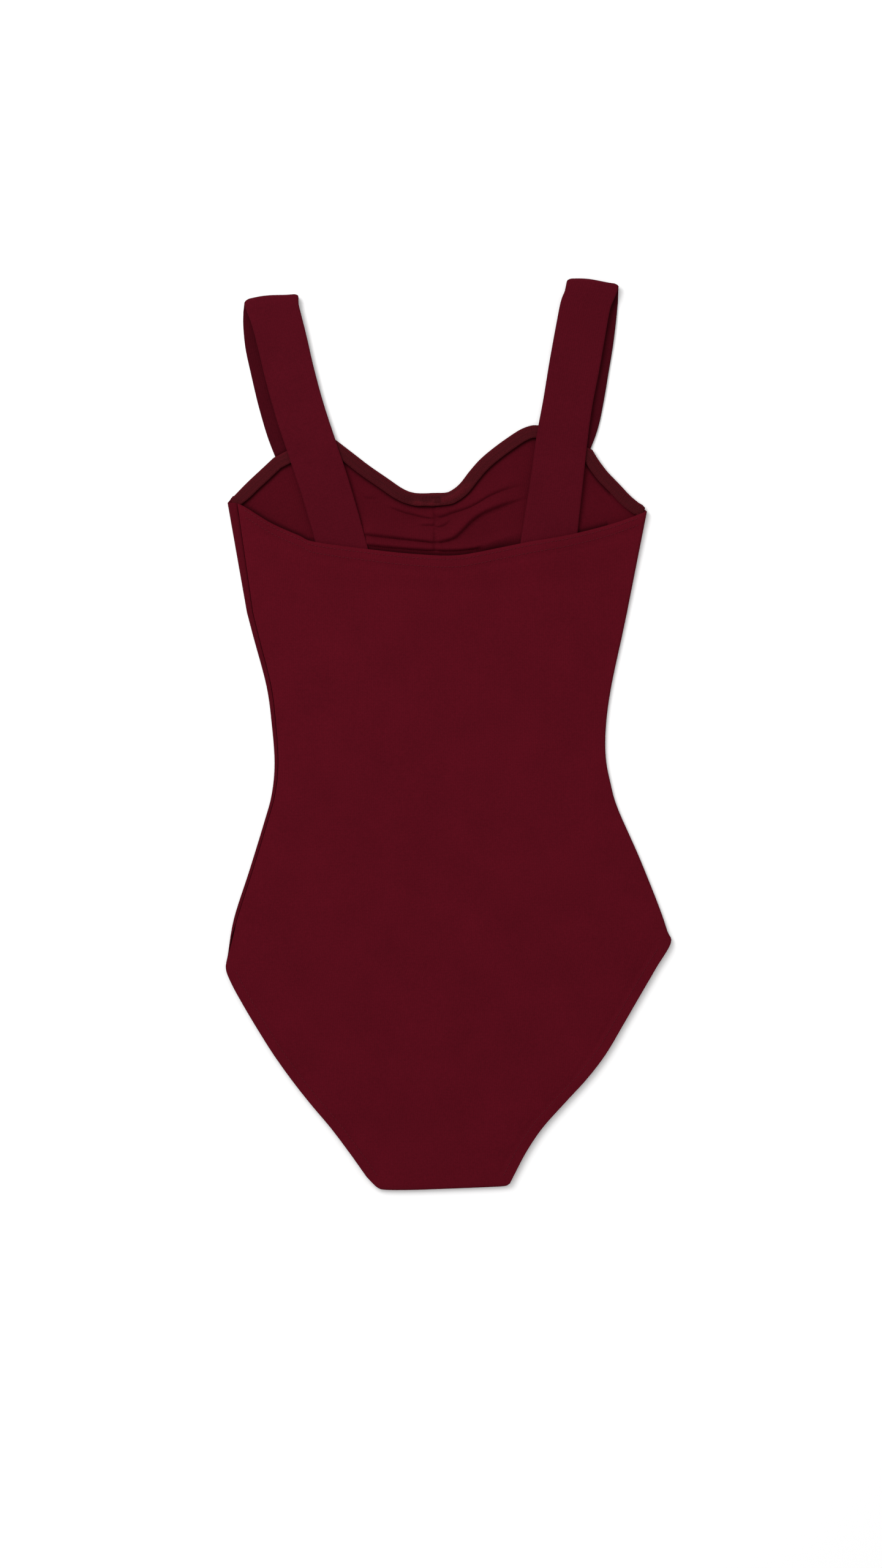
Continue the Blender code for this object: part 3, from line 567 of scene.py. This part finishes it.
def strapStations(strap):
    # middles, turns and widths along the whole strap: front spline, half circle at the shoulder, back spline
    def run(rows):
        gaps = np.linalg.norm(np.diff(np.array(rows)[:, :2], axis=0), axis=1)
        return splineThrough(rows, [max(1, int(math.ceil(gap / fine["strapStep"]))) for gap in gaps])

    front, back = run(strap["front"]), run(strap["back"])
    x, y, turn, width = strap["fold"]
    low, high = front[-1, 3], back[0, 3]
    radius = (high - low) / 2
    angle = np.linspace(-math.pi / 2, math.pi / 2, fine["strapFold"])[1:-1]
    slope = math.radians(turn)
    out = radius * (np.cos(angle) - 1)
    blend = (angle / math.pi + 0.5)
    fold = np.stack([x - math.sin(slope) * out, y + math.cos(slope) * out,
                     front[-1, 2] + (back[0, 2] - front[-1, 2]) * blend,
                     (low + high) / 2 + radius * np.sin(angle),
                     width - strapLook["corner"] * np.cos(angle) ** 3], axis=1)
    return np.vstack([front, fold, back])


def strapGrid(strap):
    # a flattened tube: each station has a ring with two flat sides and two round edges
    rows = strapStations(strap)
    rows[0, 0:2] -= unit(rows[1, 0:2] - rows[0, 0:2]) * strapLook["tuck"]
    middle = rows[:, [0, 1, 3]]
    turn = np.radians(rows[:, 2])
    across = np.stack([np.cos(turn), np.sin(turn), np.zeros(len(rows))], axis=1)
    along = np.gradient(middle, axis=0)
    normal = unit(np.cross(across, along))
    half = rows[:, 4:5] / 2
    edge = strapLook["edge"]
    flat = np.linspace(-1.0, 1.0, fine["strapFlat"])
    bend = np.linspace(-math.pi / 2, math.pi / 2, fine["strapEdge"])[1:-1]
    side = np.concatenate([flat, np.ones(len(bend)), -flat, -np.ones(len(bend))])
    swing = np.concatenate([0 * flat, np.cos(bend), 0 * flat, -np.cos(bend)])
    level = np.concatenate([0 * flat - 1, np.sin(bend), 0 * flat + 1, -np.sin(bend)])
    arc = arcLengths(middle)
    a = side[None, :] * (half - edge) + swing[None, :] * edge
    wave = strapLook["wave"] * ripple(a, arc[:, None] + 0 * a, strapLook["waves"])
    thick = strapLook["wall"] / 2 * (1 - strapLook["crown"] * np.cos(a / half * math.pi / 2))
    nearFold = smooth((middle[:, 1:2] - middle[:, 1].max() + strapLook["unevenReach"]) / strapLook["unevenReach"])
    uneven = strapLook["uneven"] * np.sin(a / half * strapLook["unevenTurn"] + strapLook["unevenPhase"]) * nearFold
    fromFront, fromBack = strapLook["waveEase"]
    held = smooth(arc / fromFront) * smooth((arc[-1] - arc) / fromBack)
    b = level[None, :] * thick + wave * held[:, None]
    points = middle[:, None, :] + across[:, None, :] * a[..., None] + normal[:, None, :] * b[..., None]
    points[..., 1] += uneven
    return points, arc[-1]


# sewing threads

threadLook = {
    "sides": 5,
    "length": 2.2, "pitch": 2.9, "radius": 0.26, "tip": 0.55, "bow": 0.26, "sink": 0.05,
    "waveRadius": 0.15, "wavePoints": 8, "waveLift": 0.10, "waveSway": 0.06,
}


def stitchRow(path, normals):
    # short stitches along a path: each is a small tube that rises from the cloth, bows and goes back in
    arc = arcLengths(path)
    starts = np.arange(1.0, arc[-1] - threadLook["length"], threadLook["pitch"])
    t = np.linspace(0.0, 1.0, 5)
    places = starts[:, None] + t * threadLook["length"]
    up = unit(alongPath(normals, arc, places))
    bow = np.sin(t * math.pi)
    middle = alongPath(path, arc, places) + up * (threadLook["bow"] * bow - threadLook["sink"])[None, :, None]
    return tubes(middle, up, threadLook["radius"] * (threadLook["tip"] + (1 - threadLook["tip"]) * bow))


def tubes(middle, up, radius):
    # tubes round one or more paths: rings of points across each path, with one flat face at each end
    sides = threadLook["sides"]
    along = unit(np.gradient(middle, axis=1))
    across = unit(np.cross(along, up))
    over = np.cross(across, along)
    angle = np.arange(sides) / sides * 2 * math.pi
    size = np.broadcast_to(radius, middle.shape[1])[None, :, None, None]
    ring = (across[:, :, None] * np.cos(angle)[None, None, :, None]
            + over[:, :, None] * np.sin(angle)[None, None, :, None]) * size
    points = middle[:, :, None] + ring
    count, rows, _, _ = points.shape
    index = np.arange(count * rows * sides).reshape(count, rows, sides)
    nxt = np.roll(index, -1, axis=2)
    quads = np.stack([index[:, :-1], nxt[:, :-1], nxt[:, 1:], index[:, 1:]], axis=-1).reshape(-1, 4)
    caps = [index[:, 0, ::-1], index[:, -1]]
    return points.reshape(-1, 3), quads, np.concatenate(caps)


def joinTubes(parts):
    # several sets of tubes as one list of points and faces
    points, faces, base = [], [], 0
    for place, quads, caps in parts:
        points.append(place)
        faces += (quads + base).tolist() + (caps + base).tolist()
        base += len(place)
    return np.concatenate(points), faces


def waveThread(lower, upper, normalLower, normalUpper, period, phase):
    # a looper thread that swings between two lines on a hem as it runs along them
    arc = arcLengths(lower)
    s = np.linspace(0.5, arc[-1] - 0.5, int(arc[-1] / period * threadLook["wavePoints"]))
    swing = (0.5 + 0.5 * np.sin(s / period * 2 * math.pi + phase))[:, None]
    middle = alongPath(lower, arc, s) * (1 - swing) + alongPath(upper, arc, s) * swing
    up = unit(alongPath(normalLower, arc, s) * (1 - swing) + alongPath(normalUpper, arc, s) * swing)
    lift = threadLook["waveLift"] + threadLook["waveSway"] * np.sin(s / period * 4 * math.pi + phase)
    return tubes((middle + up * lift[:, None])[None], up[None], threadLook["waveRadius"])


# making objects

def newObject(name, points, faces, material, uv=None):
    # a mesh object at the origin, points in millimetres
    mesh = bpy.data.meshes.new(name)
    mesh.from_pydata((points * mm).tolist(), [], faces)
    if uv is not None:
        layer = mesh.uv_layers.new(name="cloth")
        corner = np.empty(len(mesh.loops), dtype=np.int32)
        mesh.loops.foreach_get("vertex_index", corner)
        layer.data.foreach_set("uv", (uv.reshape(-1, 2)[corner] * mm).astype(np.float32).ravel())
    mesh.materials.append(material)
    mesh.shade_smooth()
    item = bpy.data.objects.new(name, mesh)
    bpy.context.scene.collection.objects.link(item)
    return item


def gridFaces(rows, columns, flip=False, closed=False):
    # four corners for each face of a grid of points; closed joins the last column to the first
    index = np.arange(rows * columns).reshape(rows, columns)
    if closed:
        index = np.hstack([index, index[:, :1]])
    faces = np.stack([index[:-1, :-1], index[:-1, 1:], index[1:, 1:], index[1:, :-1]], axis=-1).reshape(-1, 4)
    return faces[:, ::-1] if flip else faces


def clothLengths(grid):
    # lengths across and along the cloth, in millimetres, from the middle column
    across = np.zeros(grid.shape[:2])
    across[:, 1:] = np.cumsum(np.linalg.norm(np.diff(grid, axis=1), axis=-1), axis=1)
    middle = grid.shape[1] // 2
    across -= across[:, middle:middle + 1]
    along = arcLengths(grid[:, middle])
    return np.stack([across, np.repeat(along[:, None], grid.shape[1], axis=1)], axis=-1)


def clothPiece(name, grid, wall, offset, material, node, flip=False, hems=None, thin=None):
    # a sheet with a wall of one layer, and a thicker one at its hems
    item = newObject(name, grid.reshape(-1, 3), gridFaces(*grid.shape[:2], flip=flip).tolist(), material,
                     clothLengths(grid))
    shell = item.modifiers.new("wall", "SOLIDIFY")
    shell.thickness = wall * mm
    shell.offset = offset
    shell.use_even_offset = False
    if hems is not None:
        group = item.vertex_groups.new(name="hem")
        levels = np.round(hems.reshape(-1), 1)
        for level in np.unique(levels):
            group.add(np.flatnonzero(levels == level).tolist(), float(level), "REPLACE")
        shell.vertex_group = "hem"
        shell.thickness_vertex_group = thin / wall
    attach(item, "root")
    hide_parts(node)
    return item


def shadeCloth(item, shade):
    # painted shade for cloth that lies deep in a fold: 0 in the open, 1 black
    layer = item.data.attributes.new("shade", "FLOAT", "POINT")
    layer.data.foreach_set("value", shade.astype(np.float32).ravel())


# shader maths

class Wire:
    # a socket of a material's node tree that can be added, subtracted and multiplied
    def __init__(self, tree, socket):
        self.tree, self.socket = tree, socket

    def math(self, kind, first, second):
        node = self.tree.nodes.new("ShaderNodeMath")
        node.operation = kind
        for place, value in zip(node.inputs, (first, second)):
            if isinstance(value, Wire):
                self.tree.links.new(value.socket, place)
            else:
                place.default_value = value
        return Wire(self.tree, node.outputs[0])

    def __add__(self, other):
        return self.math("ADD", self, other)

    def __sub__(self, other):
        return self.math("SUBTRACT", self, other)

    def __rsub__(self, other):
        return self.math("SUBTRACT", other, self)

    def __mul__(self, other):
        return self.math("MULTIPLY", self, other)

    __radd__, __rmul__ = __add__, __mul__

    def node(self, kind, settings=(), output=0, **inputs):
        # any other node: its settings first, then its inputs, by name or as n and their number
        item = self.tree.nodes.new(kind)
        for name, value in dict(settings).items():
            setattr(item, name, value)
        for name, value in inputs.items():
            numbered = name[0] == "n" and name[1:].isdigit()
            place = item.inputs[int(name[1:]) if numbered else name.replace("_", " ")]
            if isinstance(value, Wire):
                self.tree.links.new(value.socket, place)
            else:
                place.default_value = value
        return Wire(self.tree, item.outputs[output])


def newMaterial(name, roughness, gloss):
    material = bpy.data.materials.new(name)
    material.use_nodes = True
    tree = material.node_tree
    shader = tree.nodes["Principled BSDF"]
    shader.inputs["Roughness"].default_value = roughness
    shader.inputs["Specular IOR Level"].default_value = gloss
    return material, tree, shader


def clothMaterial(name, look):
    # jersey: slow blotches, fine flecks and rows of knit loops along the cloth's own lengths, darkened by painted
    # shade from the 'shade' attribute
    material, tree, shader = newMaterial(name, look["roughness"], look["gloss"])
    place = Wire(tree, tree.nodes.new("ShaderNodeTexCoord").outputs["Object"])
    lengths = tree.nodes.new("ShaderNodeUVMap")
    lengths.uv_map = "cloth"
    lengths = Wire(tree, lengths.outputs[0])
    blotch = place.node("ShaderNodeTexNoise", Vector=place, Scale=look["blotchScale"], Detail=3.0, Roughness=0.6)
    fleck = place.node("ShaderNodeTexNoise", Vector=place, Scale=look["fleckScale"], Detail=2.0, Roughness=0.7)
    # painted shade: the base colour is multiplied by one minus the 'shade' attribute
    shade = tree.nodes.new("ShaderNodeAttribute")
    shade.attribute_name = "shade"
    lit = 1.0 - Wire(tree, shade.outputs["Fac"])
    tone = (1.0 + (blotch - 0.5) * look["blotch"] + (fleck - 0.5) * look["fleck"]) * lit
    colour = tone.node("ShaderNodeMix", {"data_type": "RGBA", "blend_type": "MULTIPLY"}, output=2,
                       n0=1.0, n6=(*look["colour"], 1.0), n7=tone)
    tree.links.new(colour.socket, shader.inputs["Base Color"])
    wales = lengths.node("ShaderNodeTexWave", {"bands_direction": "X"}, Vector=lengths, Scale=look["wales"],
                         Distortion=1.5, Detail=1.0, Detail_Scale=2.0)
    courses = lengths.node("ShaderNodeTexWave", {"bands_direction": "Y"}, Vector=lengths, Scale=look["courses"],
                           Distortion=1.5, Detail=1.0, Detail_Scale=2.0)
    waleHeight, courseHeight, fleckHeight = look["heights"]
    height = wales * waleHeight + courses * courseHeight + fleck * fleckHeight
    bump = height.node("ShaderNodeBump", Strength=look["bump"], Distance=look["bumpDepth"], Height=height)
    tree.links.new(bump.socket, shader.inputs["Normal"])
    return material


def threadMaterial(name, colour):
    material, tree, shader = newMaterial(name, 0.7, 0.05)
    shader.inputs["Base Color"].default_value = (*colour, 1.0)
    return material


jerseyLook = {
    "colour": (0.0745, 0.0027, 0.0076), "roughness": 0.88, "gloss": 0.03,
    "blotchScale": 26.0, "blotch": 0.30, "fleckScale": 700.0, "fleck": 0.50,
    "wales": 190.0, "courses": 150.0, "heights": (0.6, 0.25, 0.5), "bump": 0.5, "bumpDepth": 0.0002,
}
# painted shade: the front's inside is a darker copy of the jersey, standing in for the shade inside the garment
insideShadeLook = {**jerseyLook, "colour": (0.0600, 0.0022, 0.0062)}
strapClothLook = {**jerseyLook, "colour": (0.0640, 0.0026, 0.0072)}
hemClothLook = {**jerseyLook, "colour": (0.0590, 0.0044, 0.0074), "fleck": 0.80, "bump": 0.9}
materials = {
    "jersey": clothMaterial("jersey", jerseyLook),
    "inside": clothMaterial("jersey_inside_painted_shade", insideShadeLook),
    "strap": clothMaterial("strap_cloth", strapClothLook),
    "hem": clothMaterial("hem_cloth", hemClothLook),
    "thread": threadMaterial("maroon_thread", (0.092, 0.0072, 0.0135)),
    "looper": threadMaterial("looper_thread", (0.062, 0.0058, 0.0088)),
}


# making the garment

def facingUp(grid):
    # the grid's normals, on the side that shows from above
    normal = gridNormals(grid)
    return normal if normal[..., 2].mean() > 0 else -normal


def crossings(values, wanted):
    # for each row of values, growing along it, the fractional column where it reaches wanted
    columns = np.arange(values.shape[1])
    return np.array([np.interp(wanted, row, columns) for row in values])


def lineOnGrid(grid, normals, rows, columns):
    # a line's points and normals
    rows, columns = np.asarray(rows, float), np.asarray(columns, float)
    return sampleGrid(grid, rows, columns), sampleGrid(normals, rows, columns)


# painted shade: how much darker the cloth is painted beside the turned hems, under the back neckline and on the
# straps' front part
foldShade = {"hem": 0.55, "hemReach": 2.2, "neck": 0.62, "neckReach": 4.5, "strap": 0.33, "strapRows": 5.0}

backGrid, backHems, firstBody, firstUpper = makeBackGrid()
back = clothPiece("back_cloth", backGrid, garment["hemWall"], -1, materials["jersey"], "back_panel",
                  hems=backHems, thin=garment["wall"])
print("back:", backGrid.shape)

frontGrid, frontHems, stretches, wraps = makeFrontGrid()
front = clothPiece("front_cloth", frontGrid, garment["hemWall"], -1, materials["inside"], "front_panel",
                   flip=True, hems=frontHems, thin=garment["wall"])
hemRowsFrom = frontGrid.shape[0] - fine["hemRows"] - 1
fromHem = np.linalg.norm(frontGrid - frontGrid[hemRowsFrom], axis=-1)
belowNeck = np.interp(frontGrid[..., 0], backGrid[-1, :, 0], backGrid[-1, :, 1]) - frontGrid[..., 1]
# painted shade on the front's inside: a painted contact shadow along the inner edge of the turned hems, and
# painted shade in the gap under the back neckline
frontShade = np.maximum(foldShade["hem"] * np.exp(-(fromHem / foldShade["hemReach"]) ** 2),
                        foldShade["neck"] * smooth(1.0 + belowNeck / foldShade["neckReach"]))
frontShade[:, :wraps] = frontShade[:, -wraps:] = 0.0
shadeCloth(front, frontShade)
print("front:", frontGrid.shape)

strapPieces = {}
for name, node in (("strapLeft", "strap_left"), ("strapRight", "strap_right")):
    grid, length = strapGrid(straps[name])
    faces = gridFaces(*grid.shape[:2], closed=True).tolist()
    ring = np.arange(grid.shape[0] * grid.shape[1]).reshape(grid.shape[:2])
    faces += [ring[0, ::-1].tolist(), ring[-1].tolist()]
    piece = newObject(node + "_cloth", grid.reshape(-1, 3), faces, materials["strap"], clothLengths(grid))
    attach(piece, "root")
    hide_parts(node)
    # painted shade on the strap's front part, which lies in shadow inside the shoulder loop
    shoulder = grid[..., 1].mean(axis=1).argmax()
    rows = np.arange(grid.shape[0])[:, None] + 0 * grid[..., 0]
    shadeCloth(piece, foldShade["strap"] * smooth((shoulder - rows) / foldShade["strapRows"]))
    strapPieces[name] = (piece, grid, length)
print("straps:", [round(item[2]) for item in strapPieces.values()])

hemPieces = {}
hemLap = 8    # columns of a hem that go on under a strap
# the outer ends of the armhole hems, past the end of the front: inner edge, then outer edge
hemTips = {
    "leftArmhole": ((-3.0, 0.3, 0.0), (-2.6, -2.0, 0.0)),
    "rightArmhole": ((1.6, 0.6, 0.0), (1.8, -2.2, 0.0)),
}
hemEnds = {"leftArmhole": ("armhole_hem_left", "leftStrap"), "neckline": ("neck_hem", "rightStrap"),
           "rightArmhole": ("armhole_hem_right", None)}
for name, (node, after) in hemEnds.items():
    first = stretches[name] - (hemLap if name != "leftArmhole" else 0)
    last = stretches[after] + hemLap if after else frontGrid.shape[1]
    grid = frontGrid[hemRowsFrom:, first:last].copy()
    grid[..., 2] += frontLook["seat"]
    if name in hemTips:
        inner, outer = np.array(hemTips[name])
        share = np.linspace(0.0, 1.0, grid.shape[0])[:, None]
        end = 0 if name == "leftArmhole" else -1
        tip = grid[:, end] + inner * (1 - share) + outer * share
        grid = np.concatenate([tip[:, None], grid] if end == 0 else [grid, tip[:, None]], axis=1)
    piece = clothPiece(node + "_cloth", grid, frontLook["hemLayer"], 1, materials["hem"], node)
    hemPieces[name] = (piece, grid)
print("hems:", {name: item[1].shape for name, item in hemPieces.items()})


# sewing

# depths of the rows of stitches from their edge; columns left free at the ends of the neck rows
sewing = {
    "backNeck": (3.0, 8.8), "neckFree": (8, 14), "neckRowsBelow": 4, "leg": (7.2,),
    "looper": (1.4, 9.4), "looperPeriod": 2.72, "looperPhases": (0.0, 2.1, 4.2),
}

backNormals = facingUp(backGrid)
threads = []
neckRows = np.arange(firstUpper - sewing["neckRowsBelow"], backGrid.shape[0])
depthFromEdge = np.linalg.norm(backGrid[-1:, :, :2] - backGrid[neckRows][:, :, :2], axis=-1)
for depth in sewing["backNeck"]:
    columns = np.arange(sewing["neckFree"][0], backGrid.shape[1] - sewing["neckFree"][1], 1.0)
    rows = np.array([np.interp(-depth, -depthFromEdge[:, int(c)], neckRows) for c in columns])
    threads.append(stitchRow(*lineOnGrid(backGrid, backNormals, rows, columns)))
legRows = np.arange(firstBody, firstUpper)
legRows = legRows[fineSections(fine["backStep"])[legRows - firstBody, 4] > 0.5]
for depth in sewing["leg"]:
    for side in (1, -1):
        outline = backGrid[legRows][:, ::side]
        slope = np.gradient(outline[:, 0, :2], axis=0)
        sine = np.abs(slope[:, 1]) / np.linalg.norm(slope, axis=1)
        reach = np.abs(outline[:, :, 0] - outline[:, :1, 0]) * sine[:, None]
        columns = crossings(np.maximum.accumulate(reach, axis=1) + np.arange(reach.shape[1]) * 1e-6, depth)
        columns = columns if side == 1 else backGrid.shape[1] - 1 - columns
        threads.append(stitchRow(*lineOnGrid(backGrid, backNormals, legRows, columns)))
points, faces = joinTubes(threads)
backThreads = newObject("back_stitches", points, faces, materials["thread"])
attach(backThreads, "root")
print("back stitches:", len(points))

threads = []
for _, grid in hemPieces.values():
    normals = facingUp(grid)
    raised = grid + normals * frontLook["hemLayer"]
    depths = np.linspace(frontLook["hemRows"], 0.0, grid.shape[0])
    columns = np.arange(0, grid.shape[1], 1.0)
    lines = []
    for depth in sewing["looper"]:
        row = np.full(len(columns), np.interp(-depth, -depths, np.arange(len(depths))))
        lines.append(lineOnGrid(raised, normals, row, columns))
    (upper, upperNormal), (lower, lowerNormal) = lines
    for phase in sewing["looperPhases"]:
        threads.append(waveThread(lower, upper, lowerNormal, upperNormal, sewing["looperPeriod"], phase))
points, faces = joinTubes(threads)
hemThreads = newObject("hem_threads", points, faces, materials["looper"])
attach(hemThreads, "root")
print("hem threads:", len(points))


# floor, lights and camera

studio = {
    "floor": 0.96, "floorDrop": 0.0004,
    "world": 0.72,
    "sun": 0.8, "sunAngle": 50.0, "sunTilt": (-32.0, -24.0, 0.0),
    "window": 11.0, "windowSize": 0.8, "windowPlace": (-0.80, 0.80, 1.10), "windowAim": (0.0, -0.02, 0.0),
    "centre": (-5.64, -38.07), "height": 2841.0, "lens": 85.0, "sensor": 36.0,
}

floorMesh = bpy.data.meshes.new("floor")
floorMesh.from_pydata([(-3, -3, 0), (3, -3, 0), (3, 3, 0), (-3, 3, 0)], [], [(0, 1, 2, 3)])
floor = bpy.data.objects.new("floor", floorMesh)
floor.location.z = -studio["floorDrop"]
bpy.context.scene.collection.objects.link(floor)
floorMaterial, _, floorShader = newMaterial("floor", 0.9, 0.0)
floorShader.inputs["Base Color"].default_value = (studio["floor"], studio["floor"], studio["floor"], 1.0)
floorMesh.materials.append(floorMaterial)

world = bpy.data.worlds.new("studio")
bpy.context.scene.world = world
world.use_nodes = True
world.node_tree.nodes["Background"].inputs["Color"].default_value = (1.0, 1.0, 1.0, 1.0)
world.node_tree.nodes["Background"].inputs["Strength"].default_value = studio["world"]

sun = bpy.data.objects.new("sun", bpy.data.lights.new("sun", "SUN"))
sun.data.energy = studio["sun"]
sun.data.angle = math.radians(studio["sunAngle"])
sun.rotation_euler = [math.radians(angle) for angle in studio["sunTilt"]]
bpy.context.scene.collection.objects.link(sun)

window = bpy.data.objects.new("window", bpy.data.lights.new("window", "AREA"))
window.data.energy = studio["window"]
window.data.size = studio["windowSize"]
window.location = studio["windowPlace"]
aim = mathutils.Vector(studio["windowAim"]) - window.location
window.rotation_euler = aim.to_track_quat("-Z", "Y").to_euler()
bpy.context.scene.collection.objects.link(window)

camera = bpy.data.objects.new("camera", bpy.data.cameras.new("camera"))
camera.data.lens = studio["lens"]
camera.data.sensor_width = studio["sensor"]
camera.location = (studio["centre"][0] * mm, studio["centre"][1] * mm, studio["height"] * mm)
bpy.context.scene.collection.objects.link(camera)
bpy.context.scene.camera = camera
bpy.context.scene.view_settings.view_transform = "Standard"


# the straps' lengths in metres, rounded; nothing is done with them

for piece, _, length in strapPieces.values():
    round(length * mm, 3)
